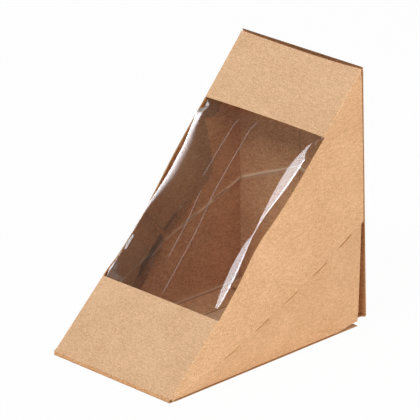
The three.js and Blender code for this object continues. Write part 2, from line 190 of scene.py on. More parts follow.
class FoldedSheet:
    """Board or film as quads on its middle surface, given its thickness at the end."""

    # Each point has a bead, the height of the ridge that a crease pushes up on the inner side.
    def __init__(self):
        self.points = []
        self.beads = []
        self.quads = []
        self.marked = set()

    def add(self, point, bead=0.0):
        self.points.append(point)
        self.beads.append(bead)
        return len(self.points) - 1

    def grid(self, rows, is_marked=lambda i, j: False):
        for i in range(len(rows) - 1):
            for j in range(len(rows[i]) - 1):
                if is_marked(i, j):
                    self.marked.add(len(self.quads))
                self.quads.append((rows[i][j], rows[i][j + 1], rows[i + 1][j + 1], rows[i + 1][j]))

    def build(self, name, thickness, materials):
        """Makes the closed mesh, with a material each for outer side, inner side, edge and marked quads; the
        marked quads get the painted shade.
        """
        points = np.array(self.points)
        quads = np.array(self.quads)
        corners = points[quads]
        normals = np.cross(corners[:, 2] - corners[:, 0], corners[:, 3] - corners[:, 1])
        normals /= np.linalg.norm(normals, axis=1)[:, None]
        sums = np.zeros_like(points)
        counts = np.zeros(len(points))
        for corner in range(4):
            np.add.at(sums, quads[:, corner], normals)
            np.add.at(counts, quads[:, corner], 1)
        used = counts > 0
        lengths = np.linalg.norm(sums, axis=1)
        lengths[~used] = 1
        unit = sums / lengths[:, None]
        miter = np.minimum(np.maximum(counts, 1) / lengths, LONGEST_MITER)
        shift = unit * (miter * thickness / 2)[:, None]
        bead = unit * np.array(self.beads)[:, None]
        number = np.cumsum(used) - 1
        outer = (points + shift)[used]
        inner = (points - shift - bead)[used]
        count = len(outer)
        top = number[quads]
        under = top[:, ::-1] + count
        edges = {}
        for quad in top.tolist():
            for k in range(4):
                edges[(quad[k], quad[(k + 1) % 4])] = True
        rim = [(b, a, a + count, b + count) for a, b in edges if (b, a) not in edges]
        faces = top.tolist() + under.tolist() + rim
        mesh = bpy.data.meshes.new(name)
        mesh.from_pydata((np.vstack([outer, inner]) * MM).tolist(), [], faces)
        for material in materials:
            mesh.materials.append(material)
        outside, inside, edge, painted_shade_slot = [min(slot, len(materials) - 1) for slot in (0, 1, 2, 3)]
        index = [painted_shade_slot if quad in self.marked else outside for quad in range(len(top))]
        index += [inside] * len(top) + [edge] * len(rim)
        mesh.polygons.foreach_set("material_index", index)
        mesh.polygons.foreach_set("use_smooth", [True] * len(faces))
        beads = np.array(self.beads)[used]
        # Bead height as a share, which lays the painted highlight along raised creases.
        ridge_highlight_share = mesh.attributes.new("ridge_highlight_share", "FLOAT", "POINT")
        ridge_highlight_share.data.foreach_set("value", np.concatenate([0 * beads, beads / BEAD_HEIGHT]).astype(np.float32))
        mesh.set_sharp_from_angle(angle=math.radians(SHARP_ANGLE))
        mesh.validate()
        piece = bpy.data.objects.new(name, mesh)
        bpy.context.scene.collection.objects.link(piece)
        return piece


def fold_arc(centre, radius, from_angle, to_angle, steps):
    angles = [lerp(from_angle, to_angle, i / steps) for i in range(steps + 1)]
    return [(centre[0] + radius * math.cos(a), centre[1] + radius * math.sin(a)) for a in angles]


def eased(count):
    """Shares from 0 to 1, closer together at both ends."""
    return [0.5 - 0.5 * math.cos(math.pi * i / count) for i in range(count + 1)]


# The run of each wall in the mesh: glue flap, bottom fold, lower half and upper half.
FOLD_STEPS = 6
GLUE_FLAP_STEPS = 3
LOWER_SHARES = [1 - share for share in eased(16)][:-1]
UPPER_SHARES = eased(24)
WALL_START = GLUE_FLAP_STEPS + FOLD_STEPS
CREASE_ROW = WALL_START + len(LOWER_SHARES)
WALL_POINTS = CREASE_ROW + len(UPPER_SHARES)
# Shares of the depth between which the right glue flap runs. The left one runs to the rear.
GLUE_FLAP_SPAN = (0.05, 0.86)
BEAD_HEIGHT = 0.5
BEAD_REACH = 0.55


def crease_cuts():
    """Start and end of each cut along the crease, as shares of the wall's depth."""
    length = math.hypot(REAR_EDGE_Y - TOE_Y, CREASE_REAR_HEIGHT - WALL_BOTTOM)
    cuts = []
    start = CREASE_FIRST_CUT
    while start < length - CREASE_END_BRIDGE - CREASE_SHORTEST_CUT:
        end = min(start + CREASE_CUT_LENGTH, length - CREASE_END_BRIDGE)
        cuts.append((start / length, end / length))
        start += CREASE_PITCH
    return cuts


def station_at_share(q):
    y = lerp(TOE_Y, REAR_EDGE_Y, q)
    return slope_station_at(y)


def slope_stations(step=1.5):
    """Stations along the slope, with one at each window edge and at each end of a cut."""
    fixed = [FIRST_STATION, WINDOW_BOTTOM, WINDOW_TOP, SLOPE_TOP]
    for start, end in crease_cuts():
        fixed += [station_at_share(start), station_at_share(end)]
    fixed = sorted(fixed)
    stations = [fixed[0]]
    for low, high in zip(fixed, fixed[1:]):
        count = max(1, round((high - low) / step))
        stations += [lerp(low, high, i / count) for i in range(1, count + 1)]
    return stations


def wall_column(wall, t):
    """One side wall at one station, from the glue flap's tip round its fold and up."""
    sign = wall["sign"]
    top = slope_point(0, t, -FOLD_DEPTH)
    y = min(top[1], REAR_EDGE_Y)
    q = depth_share(y)
    bottom = WALL_BOTTOM + wall["lift"] * smoothstep(q, 1 - SIDE_LIFT_LENGTH / DEPTH, 1)
    crease = crease_height(y)
    taper = GLUE_FLAP_TAPER * abs(2 * q - 1) ** 6
    tip = HALF_WIDTH - GLUE_FLAP_WIDTH + taper
    points = []
    for i in range(GLUE_FLAP_STEPS):
        x = lerp(tip, WALL_FACE - SIDE_FOLD_RADIUS, i / GLUE_FLAP_STEPS)
        points.append(((sign * x, y, bottom - SIDE_FOLD_RADIUS), 0.0))
    fold = fold_arc((WALL_FACE - SIDE_FOLD_RADIUS, bottom), SIDE_FOLD_RADIUS, -math.pi / 2, 0, FOLD_STEPS)
    for x, z in fold[:-1]:
        points.append(((sign * x, y, z), 0.0))
    heights = [lerp(crease, bottom, share) for share in LOWER_SHARES]
    heights += [lerp(crease, top[2], share) for share in UPPER_SHARES]
    for z in heights:
        bead = BEAD_HEIGHT * (bell(z, crease, BEAD_REACH) + bell(z, bottom + BEAD_REACH, BEAD_REACH))
        points.append(((sign * (WALL_FACE + wall_shift(wall, y, z)), y, z), bead))
    return points


BAND_STEPS = 40
# The top band's edge: how far it reaches past the walls' tops at the corners, how far it
# dips in the middle, how much further right the dip is deepest, and how far down it fades.
BAND_OVERREACH = 0.22
RIDGE_DIP = 0.6
RIDGE_DIP_SKEW = 0.45
RIDGE_DIP_REACH = 7.0
TOP_BAND_CROWN = 1.3
BOTTOM_BAND_CROWN = 0.5


def band_crown(x, t):
    """How far a band bows out between its side folds, most at its free edge."""
    across = 1 - (x / HALF_WIDTH) ** 2
    if t >= WINDOW_TOP:
        return TOP_BAND_CROWN * across * ((SLOPE_LENGTH - t) / (SLOPE_LENGTH - WINDOW_TOP)) ** 1.5
    return BOTTOM_BAND_CROWN * across * max(t / WINDOW_BOTTOM, 0) ** 1.5


def ridge_dip(x):
    """How far short of the ridge the top band ends, most in its middle."""
    share = x / HALF_WIDTH
    return RIDGE_DIP * (1 - share ** 2) * (1 + RIDGE_DIP_SKEW * share) - BAND_OVERREACH


def band_column(t):
    """The sloped face at one station, from the left wall's top to the right wall's top."""
    near_ridge = smoothstep(t, SLOPE_TOP - RIDGE_DIP_REACH, SLOPE_TOP)

    def fold_point(wall, step):
        angle = (math.pi / 2) * step / FOLD_STEPS
        x = WALL_FACE + edge_shift(t, wall) - SIDE_FOLD_RADIUS * (1 - math.cos(angle))
        reach = BAND_OVERREACH * near_ridge * step / FOLD_STEPS
        return slope_point(wall["sign"] * x, t + reach, -FOLD_DEPTH + SIDE_FOLD_RADIUS * math.sin(angle))

    points = [fold_point(LEFT_WALL, step) for step in range(1, FOLD_STEPS + 1)]
    left = points[-1]
    right = fold_point(RIGHT_WALL, FOLD_STEPS)
    for i in range(1, BAND_STEPS):
        x = lerp(left[0], right[0], i / BAND_STEPS)
        points.append(slope_point(x, t - ridge_dip(x) * near_ridge, -BOARD / 2 + band_crown(x, t)))
    points += [fold_point(RIGHT_WALL, step) for step in range(FOLD_STEPS, 0, -1)]
    return [(point, 0.0) for point in points]


DUST_STEPS = 14
# A dust flap's crease is pressed harder than the walls', and the flap stops short of the top.
DUST_BEAD = 1.3
DUST_TOP_POINTS = 3


def dust_flap_rows(wall, rear):
    """Rows of a dust flap that folds in from a side wall's rear edge."""
    sign = wall["sign"]
    rows = []
    for step in range(1, FOLD_STEPS + 1):
        angle = (math.pi / 2) * step / FOLD_STEPS
        inward = SIDE_FOLD_RADIUS * (1 - math.cos(angle))
        back = SIDE_FOLD_RADIUS * math.sin(angle)
        rows.append([((sign * (abs(x) - inward), y + back, z), 0.0) for x, y, z in rear])
    low = min(point[2] for point in rear)
    high = max(point[2] for point in rear)
    crease_tip = CREASE_REAR_HEIGHT + DUST_FLAP_WIDTH * math.tan(SLOPE_ANGLE / 2)

    def tip_height(z):
        if z < CREASE_REAR_HEIGHT:
            return lerp(low + DUST_FLAP_TAPER, crease_tip, (z - low) / (CREASE_REAR_HEIGHT - low))
        share = (z - CREASE_REAR_HEIGHT) / (high - CREASE_REAR_HEIGHT)
        return lerp(crease_tip, high - DUST_FLAP_TAPER, share)

    folded = [point for point, _ in rows[-1]]
    for i in range(1, DUST_STEPS + 1):
        share = i / DUST_STEPS
        row = []
        for x, y, z in folded:
            reach = lerp(abs(x), HALF_WIDTH - DUST_FLAP_WIDTH, share)
            bead = DUST_BEAD * BEAD_HEIGHT * bell(z, CREASE_REAR_HEIGHT, BEAD_REACH)
            bead += BEAD_HEIGHT * bell(reach, abs(x) - BEAD_REACH, BEAD_REACH)
            row.append(((sign * reach, y, lerp(z, tip_height(z), share)), bead))
        rows.append(row)
    return rows


# How far a cut's lips stand apart, in and out, and what share of that they part in height.
CUT_GAPE = 0.4
CUT_RISE = 0.6
NARROWEST_STRIP = 0.03


def make_carton(materials):
    sheet = FoldedSheet()
    stations = slope_stations()
    cuts = [(station_at_share(a), station_at_share(b)) for a, b in crease_cuts()]
    rows = []
    lower_rows = []
    for t in stations:
        column = wall_column(LEFT_WALL, t) + band_column(t) + wall_column(RIGHT_WALL, t)[::-1]
        rows.append([sheet.add(point, bead) for point, bead in column])
    last = len(rows[0]) - 1
    left_crease = CREASE_ROW
    right_crease = last - CREASE_ROW
    # Inside a cut the board's lower lip has points of its own, out from the upper lip.
    for i, t in enumerate(stations):
        lower = {}
        inside = [cut for cut in cuts if cut[0] + 0.01 < t < cut[1] - 0.01]
        if inside:
            start, end = inside[0]
            open_share = math.sin(math.pi * (t - start) / (end - start)) ** 0.5
            for row, wall in ((left_crease, LEFT_WALL), (right_crease, RIGHT_WALL)):
                x, y, z = sheet.points[rows[i][row]]
                gape = CUT_GAPE * open_share
                sheet.points[rows[i][row]] = (x - wall["sign"] * gape, y, z + CUT_RISE * gape)
                lower[row] = sheet.add((x + wall["sign"] * gape, y, z - CUT_RISE * gape))
        lower_rows.append(lower)

    def side(j):
        return min(j, last - 1 - j)

    for i in range(len(stations) - 1):
        middle = (stations[i] + stations[i + 1]) / 2
        q = middle / SLOPE_LENGTH
        for j in range(last):
            flap_end = GLUE_FLAP_SPAN[1] if j > last / 2 else 1
            if side(j) < WALL_START and not GLUE_FLAP_SPAN[0] < q < flap_end:
                continue
            if side(j) >= WALL_POINTS + 1 and WINDOW_BOTTOM < middle < WINDOW_TOP:
                continue
            # The walls' bottom folds get the dark fold material: painted shade along the foot.
            if GLUE_FLAP_STEPS <= side(j) < WALL_START:
                sheet.marked.add(len(sheet.quads))
            quad = [(i, j), (i, j + 1), (i + 1, j + 1), (i + 1, j)]
            if j == left_crease - 1 or j == right_crease:
                quad = [lower_rows[a].get(b, rows[a][b]) for a, b in quad]
            else:
                quad = [rows[a][b] for a, b in quad]
            sheet.quads.append(tuple(quad))
    # A strip in front of the ridge, wide in the middle and nothing at the corners, in the dark fold
    # material: painted shade below the ridge.
    ridge_end = list(rows[-1])
    for j in range(WALL_POINTS + FOLD_STEPS + 1, last - WALL_POINTS - FOLD_STEPS):
        x = sheet.points[rows[-1][j]][0]
        if ridge_dip(x) + BAND_OVERREACH > NARROWEST_STRIP:
            ridge_end[j] = sheet.add(slope_point(x, SLOPE_TOP + BAND_OVERREACH, -BOARD / 2))
    for j in range(last):
        quad = (rows[-1][j], rows[-1][j + 1], ridge_end[j + 1], ridge_end[j])
        if len(set(quad)) == 4:
            sheet.marked.add(len(sheet.quads))
            sheet.quads.append(quad)
    rear = rows[-1]
    ends = (
        (LEFT_WALL, rear[WALL_START + 1:WALL_POINTS - DUST_TOP_POINTS]),
        (RIGHT_WALL, rear[last + 1 - WALL_POINTS + DUST_TOP_POINTS:last - 2 - WALL_START]),
    )
    for wall, column in ends:
        flap = dust_flap_rows(wall, [sheet.points[index] for index in column])
        sheet.grid([column] + [[sheet.add(point, bead) for point, bead in row] for row in flap])
    return sheet.build("carton_board", BOARD, materials)


# Kraft fibres are about 0.03 mm thick and 3 mm long. These are thicker, so that they show.
FIBRE_SPACING = 0.55
FIBRE_LENGTH = 0.9
FIBRE_RADIUS = 0.05
FIBRE_SEED = 7
FIBRE_SCALES = (0.4, 1.2)
LIP_STEPS = 8


def make_cut_fibres(material):
    """Torn fibres along the lips of the crease cuts, set out by Geometry Nodes."""
    points, edges = [], []
    for wall in (LEFT_WALL, RIGHT_WALL):
        for start, end in crease_cuts():
            for lip in (-1, 1):
                for k in range(LIP_STEPS + 1):
                    q = lerp(start, end, k / LIP_STEPS)
                    y = lerp(TOE_Y, REAR_EDGE_Y, q)
                    z = crease_height(y)
                    gape = 0.0
                    if 0 < k < LIP_STEPS:
                        gape = CUT_GAPE * math.sin(math.pi * k / LIP_STEPS) ** 0.5
                    x = WALL_FACE + wall_shift(wall, y, z) + BOARD / 2 - lip * gape
                    if k:
                        edges.append((len(points) - 1, len(points)))
                    points.append((wall["sign"] * x * MM, y * MM, (z + lip * CUT_RISE * gape) * MM))
    lips = bpy.data.meshes.new("cut_lips")
    lips.from_pydata(points, edges, [])
    holder = bpy.data.objects.new("cut_lips", lips)
    bpy.context.scene.collection.objects.link(holder)

    tree = bpy.data.node_groups.new("cut_fibres", "GeometryNodeTree")
    tree.interface.new_socket("Geometry", in_out="INPUT", socket_type="NodeSocketGeometry")
    sizes = {"Spacing": FIBRE_SPACING * MM, "Length": FIBRE_LENGTH * MM, "Radius": FIBRE_RADIUS * MM}
    for name in sizes:
        tree.interface.new_socket(name, in_out="INPUT", socket_type="NodeSocketFloat")
    tree.interface.new_socket("Geometry", in_out="OUTPUT", socket_type="NodeSocketGeometry")
    given = tree.nodes.new("NodeGroupInput")
    curve = add_node(tree, "GeometryNodeMeshToCurve", links={"Mesh": given.outputs["Geometry"]})
    spots = add_node(
        tree, "GeometryNodeCurveToPoints",
        links={"Curve": curve.outputs[0], "Length": given.outputs["Spacing"]}, mode="LENGTH")
    fibre = add_node(
        tree, "GeometryNodeMeshCylinder", {"Vertices": 4},
        {"Radius": given.outputs["Radius"], "Depth": given.outputs["Length"]})
    turn = add_node(
        tree, "FunctionNodeRandomValue", {0: (0.0, 0.0, 0.0), 1: (6.28, 6.28, 6.28), "Seed": FIBRE_SEED},
        data_type="FLOAT_VECTOR")
    size = add_node(
        tree, "FunctionNodeRandomValue",
        {2: FIBRE_SCALES[0], 3: FIBRE_SCALES[1], "Seed": FIBRE_SEED + 1}, data_type="FLOAT")
    placed = add_node(
        tree, "GeometryNodeInstanceOnPoints",
        links={"Points": spots.outputs["Points"], "Instance": fibre.outputs["Mesh"],
               "Rotation": turn.outputs[0], "Scale": size.outputs[1]})
    real = add_node(tree, "GeometryNodeRealizeInstances", links={0: placed.outputs[0]})
    finish = add_node(tree, "GeometryNodeSetMaterial", {"Material": material}, {"Geometry": real.outputs[0]})
    add_node(tree, "NodeGroupOutput", links={"Geometry": finish.outputs[0]})

    modifier = holder.modifiers.new("fibres", "NODES")
    modifier.node_group = tree
    for item in tree.interface.items_tree:
        if item.name in sizes:
            modifier[item.identifier] = sizes[item.name]
    graph = bpy.context.evaluated_depsgraph_get()
    mesh = bpy.data.meshes.new_from_object(holder.evaluated_get(graph))
    holder.modifiers.clear()
    holder.data = mesh
    holder.name = "crease_cut_fibres"
    return holder


BASE_ROWS = 20
BASE_COLUMNS = 12
# Where the base's lap on the bottom band starts and ends, along the slope.
LAP_STATIONS = (0.1, FIRST_STATION - 0.02)


def make_base(materials):
    """The base panel, which turns up round the toe and laps the foot of the bottom band."""
    sheet = FoldedSheet()
    middle = BOARD / 2
    inner_half = WALL_FACE - SIDE_FOLD_RADIUS
    base_half = HALF_WIDTH - BASE_SIDE_INSET
    rear = DEPTH / 2 - BASE_REAR_INSET
    front = TOE[0] + GLUE_FLAP_TAPER
    path = [((lerp(rear, front, i / BASE_ROWS), middle), base_half) for i in range(BASE_ROWS + 1)]
    fold = fold_arc(TOE, TOE_FOLD_RADIUS, -math.pi / 2, SLOPE_ANGLE - 3 * math.pi / 2, 2 * FOLD_STEPS)
    path += [(point, inner_half) for point in fold]
    for t in LAP_STATIONS:
        lap = slope_point(0, t, -middle)
        path.append(((lap[1], lap[2]), inner_half))
    rows = []
    for (y, z), half in path[::-1]:
        columns = range(-BASE_COLUMNS, BASE_COLUMNS + 1)
        rows.append([sheet.add((half * share / BASE_COLUMNS, y, z)) for share in columns])
    laps = len(LAP_STATIONS)
    # The toe fold gets the dark fold material: painted shade along the front's bottom edge.
    sheet.grid(rows, is_marked=lambda i, j: laps <= i < laps + len(fold) - 1)
    return sheet.build("base_board", BOARD, materials)


LID_COLUMNS = 48
LID_FOLD_STEPS = 8
# How many of the lid's fold rows under the ridge get the painted shade.
LID_PAINTED_SHADE_STEPS = 6
LID_ROWS = 70
TUCK_ROWS = 12
# Shape of the lid's bowed shoulder below the ridge: how far back, how far down, how rounded.
LID_SHOULDER_BACK = 1.2
LID_BACK_REACH = 5.0
LID_CROWN_POWER = 1.3
LID_ROW_POWER = 1.8


def make_lid(materials):
    sheet = FoldedSheet()
    hang = RIDGE_RADIUS - BOARD / 2
    lid_half = HALF_WIDTH - LID_SIDE_GAP
    fall = HEIGHT - RIDGE_RADIUS - LID_FLOOR_GAP - BOARD / 2 - LID_FOLD_RADIUS
    shares = [lerp(-1, 1, i / LID_COLUMNS) for i in range(LID_COLUMNS + 1)]
    turn = math.radians(LID_REST_ANGLE)
    rows = []
    over = SLOPE_ANGLE + math.pi / 2
    for y, z in fold_arc(RIDGE, hang, over, turn, LID_FOLD_STEPS):
        rows.append([(share * lid_half, y, z) for share in shares])

    def hung(x, y, z):
        """A point of the hanging lid, turned to its rest angle about the ridge."""
        return (
            x,
            RIDGE[0] + y * math.cos(turn) - z * math.sin(turn),
            RIDGE[1] + y * math.sin(turn) + z * math.cos(turn),
        )

    for i in range(1, LID_ROWS + 1):
        length = fall * (i / LID_ROWS) ** LID_ROW_POWER
        near = length / LID_BACK_REACH
        row = []
        for share in shares:
            crown = math.cos((math.pi / 2) * share) ** LID_CROWN_POWER
            back = LID_SHOULDER_BACK * crown * near * math.exp(1 - near)
            row.append(hung(share * lid_half, hang + back, -length))
        rows.append(row)
    centre = (hang - LID_FOLD_RADIUS, -fall)
    for y, z in fold_arc(centre, LID_FOLD_RADIUS, 0, -math.pi / 2, FOLD_STEPS)[1:]:
        rows.append([hung(share * lid_half, y, z) for share in shares])
    for i in range(1, TUCK_ROWS + 1):
        along = i / TUCK_ROWS
        half = HALF_WIDTH - BOARD - TUCK_FLAP_SIDE_GAP - TUCK_FLAP_TAPER * along ** 2
        y = centre[0] - TUCK_FLAP_LENGTH * along
        rows.append([hung(share * half, y, -fall - LID_FOLD_RADIUS) for share in shares])
    numbers = [[sheet.add(point) for point in row] for row in rows]
    # The first fold rows under the ridge get the dark fold material: painted shade on the lid's shoulder.
    sheet.grid(numbers, is_marked=lambda i, j: i < LID_PAINTED_SHADE_STEPS)
    return sheet.build("lid_board", BOARD, materials)


# The film's bend beside a wall: a wide turn, then a tight one, then straight to the wall.
# Lengths and radii are in mm, turns in degrees, places and fades in shares up the window.
FILM_CORNER_RADIUS = 1.0
FILM_END_REACH = 1.4
# Right side: two bellies that meet at the waist, each with its radius and its pointed tip.
FILM_WAIST = 0.45
UPPER_TIP = 0.975
LOWER_TIP = 0.013
RIGHT_UPPER_RADIUS = 12.5
RIGHT_LOWER_RADIUS = 9.5
UPPER_SKEW = 1.5
LOWER_POWER = 0.9
RADIUS_SHARE = 0.6
RIGHT_EDGE_REACH = 4.2
RIGHT_WAIST_REACH = 2.4
RIGHT_WAIST_AT = 0.55
RIGHT_WAIST_SPAN = 0.17
RIGHT_FADES = (0.05, 0.04)
RIGHT_TURN = 52.0
# Left side: a long soft turn and a crest that stands level with the board's edge.
LEFT_END_LENGTH = 1.5
LEFT_WIDE_LENGTH = 14.0
LEFT_WIDE_POWER = 1.4
LEFT_WIDE_GROWS = (0.3, 0.6)
LEFT_WIDE_FADE = 0.07
LEFT_WIDE_TURN = 20.0
LEFT_END_RADIUS = 0.6
LEFT_TIGHT_RADIUS = 3.2
LEFT_TURN = 78.0
LEFT_BELLY_GROWS = (0.36, 0.62)
LEFT_BELLY_ENDS = 0.95
LEFT_BELLY_FADE = 0.24
CREST_TURN = 46.0
CREST_END_INSET = 1.0
CREST_INSET = 3.7
CREST_RISE = 1.6
CREST_RISE_GROWS = (0.1, 0.4)
WIDE_RUN_SHARE = 0.97
ARCH_REACH = 48.0
ARCH_FADES = (0.04, 0.1)
SLACK_FADE = 0.03
FILM_BEND_STEPS = 20
FILM_STRAIGHT_STEPS = 6
FILM_MARGIN_STEPS = 5
FILM_FLAT_STEPS = 48
FILM_STATIONS = 120
LONGEST_STRAIGHT = 25
STRAIGHT_STEP = 0.05

# Slack spots beside the left wall: share up the window and its reach, distance in from the
# wall and its reach, and height.
SLACK = (
    (0.19, 0.10, 0.0, 2.0, 1.2),
    (0.07, 0.07, 7.0, 5.0, 1.3),
    (1.00, 0.12, 6.4, 2.2, 0.7),
    (0.02, 0.02, 65.0, 5.0, 0.5),
)


def faded(share, low, high):
    """Nothing at both ends of the window, and 1 from the given shares inwards."""
    return smoothstep(share, 0, low) * smoothstep(1 - share, 0, high)


def film_slack(inset, share):
    """How far the film stands out of its plane, by distance in from the left wall."""
    return faded(share, SLACK_FADE, SLACK_FADE) * sum(
        height * bell(share, place, reach) * bell(inset, across, across_reach)
        for place, reach, across, across_reach, height in SLACK)


def right_bend(share):
    """Sections of the bend beside the right wall: two bellies with a waist between them."""
    ends = faded(share, *RIGHT_FADES)
    high = min(max((share - FILM_WAIST) / (UPPER_TIP - FILM_WAIST), 0), 1)
    low = min(max((share - LOWER_TIP) / (FILM_WAIST - LOWER_TIP), 0), 1)
    upper = math.sin(math.pi * high ** UPPER_SKEW)
    lower = math.sin(math.pi * low) ** LOWER_POWER
    radius = FILM_CORNER_RADIUS + RIGHT_UPPER_RADIUS * upper + RIGHT_LOWER_RADIUS * lower
    waist = RIGHT_WAIST_REACH * bell(share, RIGHT_WAIST_AT, RIGHT_WAIST_SPAN)
    reach = FILM_END_REACH + ends * (RIGHT_EDGE_REACH - FILM_END_REACH + waist)
    turn = math.radians(lerp(LEFT_TURN, RIGHT_TURN, ends))
    return reach + RADIUS_SHARE * radius, [(radius * turn, 0.0, turn, 1.0)]


def left_belly(share):
    return smoothstep(share, *LEFT_BELLY_GROWS) * smoothstep(LEFT_BELLY_ENDS - share, 0, LEFT_BELLY_FADE)


def left_bend(share):
    """The same for the left wall, where the film lies almost out to the board's edge."""
    belly = left_belly(share)
    first, crest, last = (math.radians(a) for a in (LEFT_WIDE_TURN, CREST_TURN, LEFT_TURN))
    grown = smoothstep(share, *LEFT_WIDE_GROWS) * smoothstep(1 - share, 0, LEFT_WIDE_FADE)
    wide = lerp(LEFT_END_LENGTH, LEFT_WIDE_LENGTH, grown)
    tight = lerp(LEFT_END_RADIUS, LEFT_TIGHT_RADIUS, belly)
    reach = lerp(CREST_END_INSET, CREST_INSET, belly)
    to_crest = WIDE_RUN_SHARE * wide + tight * (math.sin(crest) - math.sin(first))
    return reach + to_crest, [
        (wide, 0.0, first, LEFT_WIDE_POWER),
        (tight * (last - first), first, last, 1.0),
    ]


def follow(sections, steps):
    """Offsets across and down along sections of a length, two angles and an easing power."""
    x, n = 0.0, 0.0
    points = [(x, n)]
    for length, from_angle, to_angle, power in sections:
        for step in range(steps):
            angle = lerp(from_angle, to_angle, ((step + 0.5) / steps) ** power)
            x, n = x + length / steps * math.cos(angle), n - length / steps * math.sin(angle)
            points.append((x, n))
    return points


def film_arch(share):
    """How far the film arches up, so that its crest on the left is level with the board."""
    wide = follow(left_bend(share)[1][:1], FILM_BEND_STEPS)[-1]
    tight = lerp(LEFT_END_RADIUS, LEFT_TIGHT_RADIUS, left_belly(share))
    round_crest = math.cos(math.radians(LEFT_WIDE_TURN)) - math.cos(math.radians(CREST_TURN))
    rise = -wide[1] + tight * round_crest + CREST_RISE * smoothstep(share, *CREST_RISE_GROWS)
    return rise * faded(share, *ARCH_FADES)


def make_film(materials):
    sheet = FoldedSheet()
    inset = SEAT_GAP + FILM / 2
    face = -BOARD - inset

    def wall_limit(wall, point):
        return HALF_WIDTH - BOARD - inset + wall_shift(wall, point[1], point[2])

    def edge_points(wall, bend, share, t):
        """From the flat of the window over the bend and down the wall's inner face."""
        start, sections = bend(share)
        edge = WALL_FACE + edge_shift(t, wall)
        arch = film_arch(share) if wall["sign"] < 0 else 0.0
        points = []
        for across, down in follow(sections, FILM_BEND_STEPS):
            x = edge - start + across
            slack = film_slack(edge - x if wall["sign"] < 0 else edge + x, share)
            points.append((x, face + down + arch + slack))
        last = sections[-1][2]
        x, n = points[-1]

        def short_of_wall(run):
            limit = wall_limit(wall, slope_point(0, t, n - run * math.sin(last)))
            return x + run * math.cos(last) < limit

        run = 0.0
        while run < LONGEST_STRAIGHT and short_of_wall(run):
            run += STRAIGHT_STEP
        for step in range(1, FILM_STRAIGHT_STEPS + 1):
            along = run * step / FILM_STRAIGHT_STEPS
            points.append((x + along * math.cos(last), n - along * math.sin(last)))
        placed = [slope_point(x, t, n) for x, n in points]
        foot = points[-1][1]
        for step in range(1, FILM_MARGIN_STEPS + 1):
            point = slope_point(0, t, foot - FILM_GLUE_MARGIN * step / FILM_MARGIN_STEPS)
            placed.append((wall_limit(wall, point), point[1], point[2]))
        return [(wall["sign"] * x, y, z) for x, y, z in placed]

    low = WINDOW_BOTTOM - FILM_GLUE_MARGIN
    high = WINDOW_TOP + FILM_GLUE_MARGIN
    rows = []
    for i in range(FILM_STATIONS + 1):
        t = lerp(low, high, i / FILM_STATIONS)
        share = min(max(window_share(t), 0), 1)
        left = edge_points(LEFT_WALL, left_bend, share, t)[::-1]
        right = edge_points(RIGHT_WALL, right_bend, share, t)
        left_edge = -WALL_FACE - edge_shift(t, LEFT_WALL)
        first, last = left[-1][0], right[0][0]
        flat = []
        for k in range(1, FILM_FLAT_STEPS):
            x = lerp(first, last, k / FILM_FLAT_STEPS)
            arch = film_arch(share) * (1 - smoothstep(x, first, min(first + ARCH_REACH, last)))
            flat.append(slope_point(x, t, face + arch + film_slack(x - left_edge, share)))
        rows.append([sheet.add(point) for point in left + flat + right])
    sheet.grid(rows)
    return sheet.build("window_film_sheet", FILM, materials)


def linear(hex_colour):
    """An sRGB hex value as linear RGBA."""
    channels = [int(hex_colour[i:i + 2], 16) / 255 for i in (1, 3, 5)]
    return tuple(c / 12.92 if c <= 0.04045 else ((c + 0.055) / 1.055) ** 2.4 for c in channels) + (1.0,)


def add_node(tree, kind, inputs=None, links=None, **settings):
    """Adds a node with its settings, input values and links."""
    node = tree.nodes.new(kind)
    for name, value in settings.items():
        setattr(node, name, value)
    for name, value in (inputs or {}).items():
        node.inputs[name].default_value = value
    for name, source in (links or {}).items():
        tree.links.new(source, node.inputs[name])
    return node


def new_material(name):
    material = bpy.data.materials.new(name)
    material.use_nodes = True
    material.node_tree.nodes.clear()
    return material, material.node_tree


# Layers of the board's pattern: scale across Object X, Y and Z per metre, turn, detail and
# share. Grain of 0.5 mm, fibres about 3 mm long and 0.5 mm wide both ways, and pulp clouds
# of 18 mm. Real kraft fibres are 0.03 mm wide, which is too fine to show, so they are coarser.
BOARD_PATTERN = (
    ((2000, 2000, 2000), (0.4, 0.1, 0.9), 2.0, 1.0),
    ((330, 1900, 1900), (0.2, 0.3, 0.5), 2.0, 0.45),
    ((1700, 380, 1100), (0.7, -0.4, 0.2), 2.0, 0.45),
    ((55, 55, 55), (0, 0, 0), 3.0, 0.25),
)
BOARD_PATTERN_MIDDLE = 1.075


